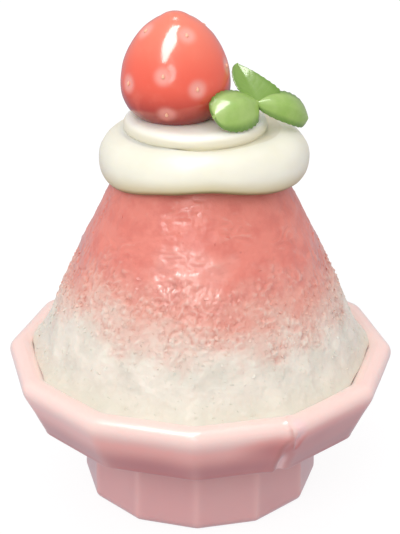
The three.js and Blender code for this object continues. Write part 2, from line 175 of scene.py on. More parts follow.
def hashed(cells, salt=0):
    """A fixed number from 0 to 1 for each row of whole numbers."""
    x, y, z = np.moveaxis(cells.astype(np.int64), -1, 0)
    n = (x * 73856093) ^ (y * 19349663) ^ (z * 83492791) ^ (salt * 2654435761)
    n = ((n ^ (n >> 13)) * 1274126177) & 0xFFFFFFFF
    n = ((n ^ (n >> 15)) * 2246822519) & 0xFFFFFFFF
    return (n ^ (n >> 16)) / 2**32


EDGES = np.array([(x, y, 0) for x in (1, -1) for y in (1, -1)]
                 + [(x, 0, z) for x in (1, -1) for z in (1, -1)]
                 + [(0, y, z) for y in (1, -1) for z in (1, -1)], float)  # from a cube's middle


def noise(points, salt=0):
    """Smooth noise from about -1 to 1, one swing to a unit of length."""
    cell = np.floor(points)
    t = points - cell
    fade = t**3 * (t * (6 * t - 15) + 10)
    total = np.zeros(points.shape[:-1])
    for corner in np.ndindex(2, 2, 2):
        slope = EDGES[(hashed(cell + corner, salt) * len(EDGES)).astype(int) % len(EDGES)]
        weight = np.prod(np.where(corner, fade, 1 - fade), axis=-1)
        total += weight * np.sum(slope * (t - corner), axis=-1)
    return total


def layered(points, octaves, salt=0):
    """Noise with finer and weaker noise on top."""
    return sum(noise(points * 2.03**k + 7.3 * k, salt + k) / 2**k for k in range(octaves))


def flakes(points, salt=0):
    """Height, about -1 to 1, of tilted flakes one to a unit cube, and the distance to their edges."""
    cell = np.floor(points)
    best = np.full(points.shape[:-1], 9.0)
    second, height = best.copy(), np.zeros(points.shape[:-1])
    for step in np.ndindex(3, 3, 3):
        there = cell + np.array(step) - 1
        random = np.stack([hashed(there, salt + k) for k in range(6)], -1)
        offset = points - there - random[..., :3]
        distance = np.linalg.norm(offset, axis=-1)
        tilted = np.sum(offset * (random[..., 3:] - 0.5), axis=-1) * 1.6 + random[..., 3] - 0.5
        second = np.minimum(second, np.maximum(best, distance))
        height = np.where(distance < best, tilted, height)
        best = np.minimum(best, distance)
    return height, second - best


# -------- meshes


def added(name, data):
    """A new object in the scene."""
    thing = bpy.data.objects.new(name, data)
    bpy.context.scene.collection.objects.link(thing)
    return thing


def piece_of(name, points, faces, material, smooth=True):
    """A piece of the object, riding on its only body, from points in millimetres."""
    mesh = bpy.data.meshes.new(name)
    mesh.from_pydata((np.asarray(points) * MM).tolist(), [], faces)
    if smooth:
        mesh.shade_smooth()
    else:
        mesh.shade_flat()
    mesh.materials.append(material)
    piece = added(name, mesh)
    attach(piece, "root")
    return piece


def ring_faces(rows, columns):
    """Quads between closed rings of points, outward for rings that go round with the azimuth and up."""
    here = np.arange(rows * columns).reshape(rows, columns)
    there = np.roll(here, -1, axis=1)
    quads = np.stack([here[:-1], there[:-1], there[1:], here[1:]], -1).reshape(-1, 4)
    return quads.tolist()


def closed_rings(rings):
    """Points and faces of a closed body from rings of points, shut by a fan at its first and last ring."""
    rows, columns, _ = rings.shape
    points = np.concatenate([rings.reshape(-1, 3), rings[:1].mean(axis=1), rings[-1:].mean(axis=1)])
    faces = ring_faces(rows, columns)
    bottom, top, last = rows * columns, rows * columns + 1, (rows - 1) * columns
    for i in range(columns):
        j = (i + 1) % columns
        faces.append([bottom, j, i])
        faces.append([top, last + i, last + j])
    return points, faces


def closed_bodies(bodies):
    """Points and faces of several closed bodies, from the rings of each."""
    points, faces = [], []
    for rings in bodies:
        some, shut = closed_rings(rings)
        faces += [[i + len(points) for i in face] for face in shut]
        points += some.tolist()
    return points, faces


def turn_round(count):
    """Angles of a count of points on a full turn."""
    return np.linspace(0, 2 * math.pi, count, endpoint=False)


def around(azimuth, r, z):
    """Points at azimuths, radii and heights."""
    r, z, azimuth = np.broadcast_arrays(r, z, azimuth)
    return np.stack([r * np.sin(azimuth), -r * np.cos(azimuth), z], -1)


def azimuth_of(points):
    return np.arctan2(points[..., 0], -points[..., 1])


def outward_of(rings):
    """Outward directions on rings that go round with the azimuth and up the outside."""
    outward = np.cross(np.gradient(rings, axis=1), np.gradient(rings, axis=0))
    return outward / np.maximum(np.linalg.norm(outward, axis=-1, keepdims=True), 1e-9)


def store(piece, name, values):
    """Keeps a number for each point of a piece, for its material to read, and 0 where values end."""
    values = np.ravel(values)
    kept = np.zeros(len(piece.data.vertices), np.float32)
    kept[:len(values)] = values
    attribute = piece.data.attributes.new(name, "FLOAT", "POINT")
    attribute.data.foreach_set("value", kept)


# -------- materials


def linear(red, green, blue):
    """A colour from its sRGB numbers, 0 to 255."""
    channels = [c / 255 for c in (red, green, blue)]
    return tuple(c / 12.92 if c <= 0.04045 else ((c + 0.055) / 1.055) ** 2.4 for c in channels) + (1.0,)


class Finish:
    """A node material round one Principled shader."""

    def __init__(self, name, **values):
        self.material = bpy.data.materials.new(name)
        self.material.use_nodes = True
        self.tree = self.material.node_tree
        self.shader = self.tree.nodes["Principled BSDF"]
        for socket, value in values.items():
            self.set(socket.replace("_", " ").title().replace("Ior", "IOR"), value)

    def feed(self, socket, value):
        if isinstance(value, bpy.types.NodeSocket):
            self.tree.links.new(value, socket)
        else:
            socket.default_value = value

    def set(self, socket, value):
        self.feed(self.shader.inputs[socket], value)

    def node(self, kind, inputs=(), output=0, **settings):
        made = self.tree.nodes.new("ShaderNode" + kind)
        for name, value in settings.items():
            setattr(made, name, value)
        for socket, value in dict(inputs).items():
            self.feed(made.inputs[socket], value)
        return made.outputs[output]

    def place(self):
        """The point on the piece, in metres."""
        return self.node("TexCoord", output="Object")

    def kept(self, name):
        """A number that the mesh keeps for each point."""
        return self.node("Attribute", output="Fac", attribute_name=name)

    def noise(self, size, detail=3.0, roughness=0.5, distortion=0.0, place=None):
        """Noise from 0 to 1 whose swings are size millimetres long."""
        return self.node("TexNoise", {
            "Vector": place or self.place(), "Scale": 1 / (size * MM), "Detail": detail,
            "Roughness": roughness, "Distortion": distortion})

    def cells(self, size):
        """Distance to the nearest of crumbs that lie size millimetres apart."""
        return self.node("TexVoronoi", {"Vector": self.place(), "Scale": 1 / (size * MM)},
                         output="Distance")

    def stretched(self, x, y, z):
        """The point on the piece with its axes scaled."""
        return self.node("VectorMath", {0: self.place(), 1: (x, y, z)}, operation="MULTIPLY")

    def height(self):
        """The height above the table, in millimetres."""
        z = self.node("SeparateXYZ", {0: self.place()}, output="Z")
        return self.times(z, 1 / MM)

    def maths(self, operation, a, b=0.0):
        return self.node("Math", {0: a, 1: b}, operation=operation)

    def times(self, a, b):
        return self.maths("MULTIPLY", a, b)

    def spread(self, value, low, high, to_low=0.0, to_high=1.0):
        """value's range from low to high, moved smoothly onto another one."""
        return self.node("MapRange", {"Value": value, "From Min": low, "From Max": high, "To Min": to_low,
                                      "To Max": to_high}, interpolation_type="SMOOTHSTEP")

    def ramp(self, value, low, high):
        """value's range from low to high, moved evenly onto 0 to 1."""
        return self.node("MapRange", {"Value": value, "From Min": low, "From Max": high})

    def mix(self, factor, a, b):
        """A colour from a to b."""
        return self.node("Mix", {0: factor, 6: a, 7: b}, output=2, data_type="RGBA")

    def tint(self, colour, amount, most, other):
        """colour, moved towards another one by amount times most."""
        return self.mix(self.times(amount, most), colour, other)

    def bump(self, height, distance, strength, normal=None):
        """A normal bent by a height from 0 to 1 that stands for distance millimetres."""
        inputs = {"Height": height, "Distance": distance * MM, "Strength": strength}
        if normal:
            inputs["Normal"] = normal
        return self.node("Bump", inputs)


# -------- bowl


def beside_corner(azimuth):
    """The angle to the bowl's nearest corner."""
    return np.abs((azimuth - BOWL_TURN + HALF_SIDE) % (2 * HALF_SIDE) - HALF_SIDE)


def ring_reach(azimuth, rounding=CORNER_RADIUS):
    """How far the bowl's round-cornered ring reaches, as a share of its sharp corner radius."""
    beside = beside_corner(azimuth)
    flat = math.cos(HALF_SIDE) / np.cos(HALF_SIDE - beside)
    centre = 1 - rounding / math.cos(HALF_SIDE)
    chord = np.sqrt(np.maximum(rounding**2 - (centre * np.sin(beside)) ** 2, 0))
    touch = np.arctan2(rounding * math.sin(HALF_SIDE), centre + rounding * math.cos(HALF_SIDE))
    return np.where(beside < touch, centre * np.cos(beside) + chord, flat)


def cavity_section():
    """The rim's inner slope and the cavity, from the crown down to the floor near the axis."""
    edge = (INNER_RADIUS, INNER_HEIGHT)
    lip = spline([(CROWN_RADIUS, RIM_HEIGHT), (57.4, 49), (56, 47.9), edge], 12)
    wall = spline([edge, (53.4, 41.5), (49.6, 34), (43, 28.6), (34, FLOOR_HEIGHT)], 16)
    return np.concatenate([lip, wall[1:], [(AXIS_RADIUS, FLOOR_HEIGHT)]])


def bowl_section():
    """The bowl's section over a corner, from under the foot round the outside to the cavity's floor."""
    recess = [(AXIS_RADIUS, RECESS_DEPTH), (RECESS_RADIUS - 4, RECESS_DEPTH)]
    cove = arc((RECESS_RADIUS - 3, RECESS_DEPTH - 3), (3, 3), 80, 0, 6)
    wall = [(RECESS_RADIUS, z) for z in (9, 6, 3)]
    lip = arc((RECESS_RADIUS + 1, 1), (1, 1), 180, 270, 4)
    ring = [(r, 0) for r in (33.5, 35)]
    bevel = arc((FOOT_RADIUS - FOOT_BEVEL[0], FOOT_BEVEL[1]), FOOT_BEVEL, -90, 0, 9)
    foot = [(FOOT_RADIUS - 0.02 * (z - 3), z) for z in np.linspace(4, NECK_HEIGHT, 12)]
    underside = spline([(39, 19.6), (40.2, 22.4), (45, 25.8), (51, 27.9), (55, 28.7)], 16)
    bead = spline([(55.4, 28.8), (BAND_RADIUS + 0.05, BAND_BOTTOM - 0.25),
                   (BAND_RADIUS + 0.35, BAND_BOTTOM + 0.3), (BAND_RADIUS + 0.6, BAND_BOTTOM + 1)], 9)
    band = spline([(57.0, 31.2), (58.5, 34.3), (60.15, 37.8), (61.7, 40.8), (62.85, 43), (63.5, 44.6),
                   (63.75, 46.1), (63.45, 47.5), (62.6, 48.6), (61.2, 49.3), (CROWN_RADIUS, RIM_HEIGHT)], 80)
    return np.concatenate([recess, cove, wall, lip, ring, bevel, foot, underside, bead, band,
                           cavity_section()[1:]])


def on_bowl(line):
    """Points of a line given as degrees past the front right corner, corner radius and height."""
    past, r, z = np.array(line, float).T
    azimuth = BOWL_TURN + FRONT_RIGHT + np.radians(past)
    return around(azimuth, r * ring_reach(azimuth), z)


def across_line(points, line):
    """Distance of points from a smooth line on the bowl, and the side they are on, -1 left to 1 right."""
    distance = np.full(points.shape[:-1], 99.0)
    side = np.zeros_like(distance)
    for spot in spline(on_bowl(line), 240):
        offset = points - spot
        length = np.linalg.norm(offset, axis=-1)
        right = np.array([-spot[1], spot[0], 0]) / math.hypot(spot[0], spot[1])
        closer = length < distance
        side[closer] = (offset @ right / np.maximum(length, 0.05))[closer]
        distance[closer] = length[closer]
    return distance, side


def fold_relief(points):
    """How far the fold stands out of the bowl, and its painted shading, -1 painted light to 1 painted shade.
    """
    azimuth = azimuth_of(points)
    near = np.nonzero(np.abs(azimuth - BOWL_TURN - FRONT_RIGHT) < 0.2)
    spots = points[near]

    def crest(line, left, right):
        distance, side = across_line(spots, line)
        return hump(distance, 0, lerp(left, right, 0.5 + 0.5 * side))

    z = spots[:, 2]
    on_band, down = smoothstep(z, 48.8, 46.5), smoothstep(z, 38.5, 32.5)
    along_fold, along_branch = smoothstep(z, 36, 41), smoothstep(z, 46.5, 43)
    ridges = (lerp(0.25, 0.45, on_band) * crest(FOLD, lerp(0.9, 1.6, on_band), 0.8) * along_fold
              + 0.35 * crest(BRANCH, 2.0, 1.3) * along_branch)
    in_hollow = smoothstep(z, 37.5, 41.5)
    width = lerp(0.9, 2.6, smoothstep(z, 39, 47))
    depth = 0.22 * np.clip(47.5 - z, 0, 6)
    sunk = depth * crest(HOLLOW, 0.7 * width, width) * in_hollow + 0.85 * crest(PLEAT, 1.2, 2.0) * down
    # Painted shade along the fold and its branch, and painted light on the pleat and the hollow.
    colour = (0.55 * crest(FOLD, 1.1, 0.5) * lerp(0.4, 1, on_band) * along_fold
              + 0.5 * crest(BRANCH, 1.4, 0.9) * along_branch)
    colour = colour - 1.1 * crest(PLEAT, 1.2, 1.7) * down
    colour = colour - 1.1 * crest(HOLLOW, 0.5 * width, width) * in_hollow
    relief, fold_shading_paint = np.zeros(azimuth.shape), np.zeros(azimuth.shape)
    relief[near] = ridges - sunk
    fold_shading_paint[near] = np.clip(colour, -1, 1)
    return relief, fold_shading_paint


def painted_shade_at_right(points):
    """0 to 1 where painted shade darkens the glaze, halfway up the band at the front right."""
    azimuth = azimuth_of(points)
    return smoothstep(azimuth, 0.16, 0.44) * smoothstep(azimuth, 1.7, 1.2) * hump(points[..., 2], 40.5, 4.5)


def bowl_azimuths():
    """Azimuths of the bowl's points, closer together at the fold."""
    even = BOWL_TURN + turn_round(BOWL_SIDES * BOWL_SIDE_STEPS)
    fine = np.radians(np.arange(*FINE_DEGREES, FINE_STEP))
    apart = np.min(np.abs(even[:, None] - fine[None]), axis=1)
    return np.sort(np.concatenate([even[apart > 0.008], fine]))


def make_bowl(material):
    section = bowl_section()
    r, z = section[:, :1], section[:, 1:]
    azimuth = bowl_azimuths()
    rounding = lerp(CRISP_RADIUS, CORNER_RADIUS, smoothstep(z, 22, 33))
    rings = around(azimuth[None], r * ring_reach(azimuth[None], rounding), z)
    relief, fold_shading = fold_relief(rings)
    uneven = 0.12 * noise(rings / 23, 5) + 0.05 * noise(rings / 9, 6)
    off_table = smoothstep(rings[..., 2], 1.5, 4)
    rings = rings + outward_of(rings) * ((uneven + relief) * off_table)[..., None]
    points, faces = closed_rings(rings)
    piece = piece_of("bowl_glazed", points, faces, material)
    # edge: a painted highlight along the foot's corners, fading out up the band.
    edge = hump(beside_corner(azimuth), 0, 0.035)[None] * (1 - smoothstep(z, 28, 40))
    store(piece, "edge", edge)
    store(piece, "fold_shading", fold_shading)
    store(piece, "right_shade", painted_shade_at_right(points))
    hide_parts("bowl")


def glaze():
    """Pink glaze, with painted light over the rim and painted shade down the band, on the foot and at the
    fold.
    """
    finish = Finish("pink_glaze", ior=1.5, coat_weight=0.3, coat_roughness=0.1, specular_ior_level=0.35,
                    subsurface_weight=0.3, subsurface_scale=3.5 * MM, sheen_weight=0.6, sheen_roughness=0.35)
    finish.set("Subsurface Radius", (1.0, 0.35, 0.3))
    cloud = finish.noise(30, 2, 0.4)
    right_shade = finish.kept("right_shade")
    level = finish.maths("ADD", finish.height(), finish.times(cloud, 1.6))
    # The painted shade starts higher up the band at the front right.
    level = finish.maths("SUBTRACT", level, finish.times(right_shade, 3.2))
    # By height: painted light over the rim, and painted shade down the band and on the foot.
    foot, shaded_glaze = linear(215, 164, 162), linear(193, 127, 127)
    body, pale_lit_glaze = linear(252, 182, 172), linear(252, 217, 208)
    colour = finish.mix(finish.spread(level, 26, 30), foot, shaded_glaze)
    colour = finish.mix(finish.spread(level, 33, 42.5), colour, body)
    colour = finish.mix(finish.spread(level, 41, 47), colour, pale_lit_glaze)
    # More painted shade halfway up the band at the front right.
    colour = finish.tint(colour, right_shade, 0.45, linear(194, 98, 98))
    fold_shading = finish.kept("fold_shading")
    # Painted shade along the fold's lines and painted light on its hollow and pleat.
    colour = finish.mix(finish.spread(fold_shading, 0, 1, 0, 0.85), colour, linear(170, 106, 98))
    colour = finish.mix(finish.spread(fold_shading, 0, -1, 0, 0.8), colour, linear(252, 210, 208))
    # A painted highlight along the foot's corners.
    colour = finish.tint(colour, finish.kept("edge"), 0.17, pale_lit_glaze)
    colour = finish.mix(finish.spread(cloud, 0.4, 0.7, 0, 0.12), colour, pale_lit_glaze)
    finish.set("Base Color", colour)
    finish.set("Roughness", finish.spread(cloud, 0.3, 0.7, 0.28, 0.34))
    finish.set("Normal", finish.bump(finish.noise(9, 2, 0.4), 0.06, 0.4))
    return finish.material


# -------- shaved ice


def ice_radius(z):
    """The smooth cone's radius at a height."""
    share = (z - ICE_WALL[1]) / (ICE_TOP[1] - ICE_WALL[1])
    return lerp(ICE_WALL[0], ICE_TOP[0], share) + ICE_BULGE * np.sin(math.pi * np.clip(share, 0, 1))


def ice_outward(azimuth, z):
    """The smooth cone's outward direction."""
    slope = ice_radius(z - 0.5) - ice_radius(z + 0.5)
    return unit(around(azimuth, 1.0, slope))


def syrup_amount(points):
    """How much syrup the ice holds, 0 to 1: all of it above, none below, with a ragged change between."""
    azimuth = azimuth_of(points)
    middle = (SYRUP_LINE - 2 * hump(azimuth, 0.1, 0.45) + 2.5 * hump(azimuth, -0.7, 0.35)
              - 2 * smoothstep(np.abs(azimuth), 0.8, 1.4))
    ragged = 5.0 * layered(points / 12, 3, 27) + 2.2 * noise(points / 2.6, 25) + 1.6 * noise(points / 1.2, 26)
    return np.clip((points[..., 2] + ragged - middle) / SYRUP_FADE + 0.5, 0, 1)


def curls(points, size, salt):
    """Winding crests size millimetres apart, -1 to 1."""
    bent = np.stack([noise(points / (1.6 * size), salt + k) for k in range(3)], -1)
    return 1 - np.minimum(np.abs(noise(points / size + 0.8 * bent, salt + 3)) * 3.4, 2)


def slush_and_highlight(points):
    """0 to 1 where the soaked ice is paler slush, partly a painted highlight: one patch at the front, and
    weaker ones elsewhere.
    """
    azimuth = azimuth_of(points)
    ragged = 0.35 * layered(points / 6, 2, 95)
    front = (((azimuth + 0.04) / 0.4) ** 2 + ((points[..., 2] - 89.5) / 8) ** 2) ** 0.5
    back = smoothstep(noise(points / 17, 97), 0.2, 0.5) * smoothstep(np.abs(azimuth), 0.7, 1.2)
    return np.maximum(smoothstep(front + ragged, 1.2, 0.5), 0.8 * back * hump(points[..., 2], 88, 9))


def ice_relief(points, syrup):
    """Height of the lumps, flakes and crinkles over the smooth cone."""
    lumps = 0.3 * noise(points / 9, 33) + 0.2 * noise(points / 4.2, 34)
    soaked = smoothstep(syrup, 0.7, 0.95)
    dry = 1 - smoothstep(syrup, 0.0, 0.3)
    between = (1 - soaked) * (1 - dry)
    bent = points + 0.5 * np.stack([noise(points / 1.7, 36 + k) for k in range(3)], -1)
    flake, crack = flakes(bent / 1.9, 41)
    flaky = flake * np.clip(crack / 0.25, 0, 1) - 0.5 * np.exp(-((crack / 0.12) ** 2))
    uneven = np.maximum(0.7 + 0.6 * noise(points / 9, 35), 0.3)
    crinkled = 0.42 * flaky + 0.24 * curls(points, 3.2, 51) + 0.1 * curls(points, 1.7, 55)
    flat = points * np.array([0.4, 0.4, 1.0])
    patch = smoothstep(noise(points / np.array([12, 12, 8]), 73), -0.2, 0.35)
    wrinkled = (0.05 + 0.13 * patch) * curls(flat, 1.9, 71) + 0.08 * flaky
    clumped = 0.5 * noise(points / 8, 80) + 0.26 * layered(points / 4, 2, 81) + 0.17 * flaky
    relief = lumps + between * uneven * crinkled + soaked * wrinkled + dry * clumped
    relief = relief + 0.55 * slush_and_highlight(points) * noise(points / np.array([6, 6, 3.6]), 98)
    z = points[..., 2]
    return relief * smoothstep(z, 48.4, 50.5) * (1 - smoothstep(z, 107, 112))


def spill(azimuth, z):
    """How far the heap's foot spreads onto the rim, leaving chinks at the left and right corners."""
    chink = np.exp(-(((np.abs(azimuth) - CHINK_AZIMUTH) / CHINK_WIDTH) ** 4))
    reach = ring_reach(azimuth) * SPILL_RADIUS - ice_radius(SPILL_BASE)
    return reach * lerp(1, CHINK_REST, chink) * np.clip((SPILL_TOP - z) / (SPILL_TOP - SPILL_BASE), 0, 1) ** 2


def hidden_ice(azimuth):
    """Rings under the rim, from the cavity's floor upwards, a gap inside its wall."""
    return [around(azimuth, np.maximum(r * ring_reach(azimuth) - GAP, 0), z + GAP)
            for r, z in cavity_section()[::-1][:-CAVITY_LEFT:CAVITY_STEP]]


def make_ice(material):
    azimuth = np.linspace(-math.pi, math.pi, ICE_RAYS, endpoint=False)
    z = np.linspace(CONE_FOOT, CONE_SHOULDER, ICE_ROWS)[:, None]
    cone = around(azimuth[None], ice_radius(z) + spill(azimuth, z), z)
    relief = ice_relief(cone, syrup_amount(cone))
    cone = cone + ice_outward(azimuth[None], z) * relief[..., None]
    hidden = hidden_ice(azimuth)
    top = [around(azimuth, r, ICE_TOP[1]) for r in (ICE_TOP[0] - 1.5, AXIS_RADIUS)]
    rings = np.concatenate([hidden, cone, top])
    points, faces = closed_rings(rings)
    piece = piece_of("ice_heap", points, faces, material)
    store(piece, "syrup", syrup_amount(points))
    store(piece, "slush", slush_and_highlight(points))
    blurred = relief
    for axis in (0, 1):
        blurred = sum(np.roll(blurred, k, axis=axis) for k in range(-3, 4)) / 7
    height = np.zeros(rings.shape[:2])
    height[len(hidden):-len(top)] = relief - blurred
    store(piece, "height", height)
    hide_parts("shaved_ice")


# A flake's two six-cornered sides, and its faces.
FLAKE = np.array([(math.cos(a), math.sin(a), h) for h in (-0.5, 0.5)
                  for a in np.radians((0, 58, 118, 185, 241, 305))])
FLAKE_FACES = ([(5, 4, 3, 2, 1, 0), (6, 7, 8, 9, 10, 11)]
               + [(i, (i + 1) % 6, (i + 1) % 6 + 6, i + 6) for i in range(6)])


def make_flakes(material):
    """Loose flakes and crumbs lying on the heap, half sunk in it."""
    draw = np.random.default_rng(7)
    z = lerp(49.6, 104, draw.random(4 * FLAKE_COUNT))
    azimuth = math.pi * (2 * draw.random(len(z)) - 1)
    spots = around(azimuth, ice_radius(z) + spill(azimuth, z), z)
    syrup = syrup_amount(spots)
    wanted = 0.5 * hump(syrup, 0.35, 0.25) + lerp(0.03, 0.02, smoothstep(syrup, 0.3, 0.75))
    kept = np.nonzero(draw.random(len(z)) < wanted * ice_radius(z) / ICE_WALL[0])[0][:FLAKE_COUNT]
    count, corners = len(kept), len(FLAKE)
    spots, syrup = spots[kept], syrup[kept]
    outward = ice_outward(azimuth[kept], z[kept])
    spots = spots + outward * (ice_relief(spots, syrup) - 0.03)[:, None]
    size = 0.3 + 0.5 * draw.random(count) ** 2
    facing = unit(outward + 0.25 * draw.normal(size=(count, 3)))
    along = unit(np.cross(facing, draw.normal(size=(count, 3))))
    axes = np.stack([along, np.cross(facing, along), facing], 1)
    uneven = FLAKE[None] * (1 + 0.5 * (draw.random((count, corners, 1)) - 0.5))
    stretch = np.stack([np.ones(count), lerp(0.5, 1, draw.random(count)),
                        lerp(0.18, 0.45, draw.random(count))], -1)[:, None]
    points = (uneven * stretch) @ axes * size[:, None, None] + spots[:, None]
    faces = [tuple(corners * k + i for i in face) for k in range(count) for face in FLAKE_FACES]
    piece = piece_of("ice_flakes", points.reshape(-1, 3), faces, material, smooth=False)
    store(piece, "syrup", np.repeat(syrup, corners))
    store(piece, "slush", np.repeat(slush_and_highlight(spots), corners))
    store(piece, "height", np.full(corners * count, 0.04))


def ice_colour(finish, syrup, height):
    """White where the ice is dry, pink where it holds syrup, with painted shade in pits and painted light on
    tips.
    """
    white, shade = linear(234, 225, 211), linear(220, 213, 199)
    blush, pink, deep = linear(230, 174, 158), linear(233, 139, 123), linear(206, 98, 88)
    cloud = finish.noise(9, 3, 0.5)
    colour = finish.mix(finish.spread(cloud, 0.35, 0.68), white, shade)
    # Painted shade at the heap's foot, near the rim.
    colour = finish.mix(finish.spread(finish.height(), 58, 49, 0, 0.7), colour, linear(216, 208, 190))
    colour = finish.mix(finish.ramp(syrup, 0.06, 0.5), colour, blush)
    colour = finish.mix(finish.ramp(syrup, 0.45, 0.92), colour, pink)
    soaked = finish.times(finish.spread(finish.noise(6, 4, 0.55), 0.42, 0.66), finish.ramp(syrup, 0.15, 0.7))
    colour = finish.tint(colour, soaked, 0.34, deep)
    # Paler slush, partly a painted highlight at the front.
    colour = finish.tint(colour, finish.kept("slush"), 0.36, linear(246, 184, 170))
    # Painted shade in the relief's pits and painted light on its tips.
    pit_shade = finish.times(finish.spread(height, -0.02, -0.25), finish.spread(syrup, 0.1, 0.4))
    colour = finish.tint(colour, pit_shade, 0.45, linear(204, 124, 106))
    tip = finish.mix(finish.spread(syrup, 0.2, 0.9), white, blush)
    return finish.tint(colour, finish.spread(height, 0.02, 0.2), 0.4, tip)


def wet_ice(name, gloss):
    """Shaved ice, soft where it is dry and wet where it holds syrup, with gloss as its wettest coat."""
    finish = Finish(name, ior=1.33, subsurface_weight=0.3, subsurface_scale=0.45 * MM,
                    sheen_weight=0.35, sheen_roughness=0.35)
    finish.set("Subsurface Radius", (1.0, 0.6, 0.5))
    syrup, height = finish.kept("syrup"), finish.kept("height")
    finish.set("Base Color", ice_colour(finish, syrup, height))
    wet = finish.times(finish.spread(syrup, 0.42, 0.82), finish.spread(syrup, 1.0, 0.8, 0.45, 1))
    wet = finish.maths("MAXIMUM", wet, finish.kept("slush"))
    finish.set("Roughness", finish.spread(wet, 0, 1, 0.55, 0.34))
    finish.set("Coat Weight", finish.spread(wet, 0, 1, 0.05, gloss))
    finish.set("Coat Roughness", 0.24)
    crumb = finish.bump(finish.cells(0.75), 0.12, 0.3)
    finish.set("Normal", finish.bump(finish.noise(1.2, 3, 0.6, 0.5), 0.1, 0.3, crumb))
    return finish.material


# -------- whipped cream


def skirt(azimuth):
    """Height of the cream's wavy lower edge."""
    wave = 0.5 * np.cos(5 * azimuth - 0.6) + 0.3 * np.sin(8 * azimuth)
    lifted = (0.6 * hump(azimuth, 0.6, 0.3) + 1.3 * hump(azimuth, 1.3, 0.45) - 0.7 * hump(azimuth, -0.65, 0.3)
              - 0.8 * hump(azimuth, -1.4, 0.3) - 0.3 * hump(azimuth, 0.1, 0.25))
    return SKIRT_HEIGHT + SKIRT_SAG * np.cos(2 * azimuth) + wave + lifted


def ellipse_reach(azimuth, centre, half_width, half_depth):
    """How far an ellipse, moved sideways by centre, reaches from the bowl's axis."""
    around_it = np.hypot(half_depth * np.sin(azimuth), half_width * np.cos(azimuth))
    return half_width * half_depth / around_it + centre * np.sin(azimuth)


def roll_point(azimuth, degrees):
    """Radius and height on the lower roll, by the angle in its section, -90 under it and 90 on top."""
    low = skirt(azimuth)
    half_height = (ROLL_TOP - low) / 2
    half_width = np.minimum(9, half_height + 1.2)
    out, up = np.cos(np.radians(degrees)), np.sin(np.radians(degrees))
    square = np.where(up < 0, SQUARENESS, 1.0)
    reach = ellipse_reach(azimuth, CREAM_CENTRE, ROLL_RADIUS, ROLL_DEPTH)
    r = reach - half_width + half_width * np.sign(out) * np.abs(out) ** square
    droop = 2.4 * np.abs(np.cos(azimuth)) * (1 - up**2)
    return r, low + half_height + half_height * up - droop


def roll_rings(azimuth):
    """Rings down over the ice to the roll's underside, and round the roll to the edge of its top."""
    start = np.full(azimuth.shape, -90.0)
    for _ in range(90):
        r, z = roll_point(azimuth, start)
        start = np.where(r < ice_radius(z) + 0.25, start + 1, start)
    _, lowest = roll_point(azimuth, start)
    rings = []
    for share in (0, 0.33, 0.67, 1):
        z = lerp(ICE_TOP[1] - 1.2, lowest + 0.8, share)
        rings.append(around(azimuth, ice_radius(z) + 0.12, z))
    for share in np.linspace(0, 1, ROLL_ROWS):
        r, z = roll_point(azimuth, lerp(start, 94, share))
        rings.append(around(azimuth, r, z))
    return rings


def tier_rings(azimuth):
    """Rings from the crease round the smaller upper tier to the middle of its top."""
    tier = ellipse_reach(azimuth, TIER_CENTRE, TIER_RADIUS, TIER_RADIUS)
    filled = 0.5 * hump(azimuth, 0.5, 0.8)
    rings = []
    for out, up in ((1.5, 1.2), (0.8, 0.8), (0.3, 0.9)):
        rings.append(around(azimuth, tier + out, CREASE_HEIGHT + up + filled))
    for out, up in arc((-0.8 * TIER_EDGE[0], TIER_TOP - TIER_EDGE[1]), TIER_EDGE, -35, 90, 18):
        rings.append(around(azimuth, tier + out, up))
    for share in np.linspace(0.8, 0.1, 16):
        rings.append(around(azimuth, share * tier, TIER_TOP + 0.3 * (1 - share)))
    return rings


def cream_rings(azimuth):
    """Rings from the middle of the ice's top, down over the ice, round the roll and to the cream's top."""
    under = [around(azimuth, r, ICE_TOP[1] + GAP) for r in (4, ICE_TOP[0] - 1.2)]
    return np.array(under + roll_rings(azimuth) + tier_rings(azimuth))


def make_cream(material):
    azimuth = np.linspace(-math.pi, math.pi, CREAM_RAYS, endpoint=False)
    rings = cream_rings(azimuth)
    soft = 0.3 * noise(rings / 14, 91) + 0.12 * noise(rings / np.array([6, 6, 3.5]), 92)
    soft[:INNER_ROWS] = 0
    share = (rings[..., 2] - skirt(azimuth)) / (ROLL_TOP - skirt(azimuth))
    rings = rings + outward_of(rings) * soft[..., None]
    points, faces = closed_rings(rings)
    piece = piece_of("cream_swirl", points, faces, material)
    z = rings[..., 2]
    # The material paints shade on the tier's side and the underside, and a shadow along the lower edge.
    tier_side_shade = smoothstep(z, 122.4, 123.6) * smoothstep(z, 127.6, 126)
    tier_side_shade[:-TIER_ROWS] = 0
    store(piece, "tier", tier_side_shade)
    store(piece, "edge", smoothstep(share, 0.19, 0.07) * (share > -0.2))
    store(piece, "under", 1 - smoothstep(share, 0.06, 0.5))
    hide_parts("whipped_cream")


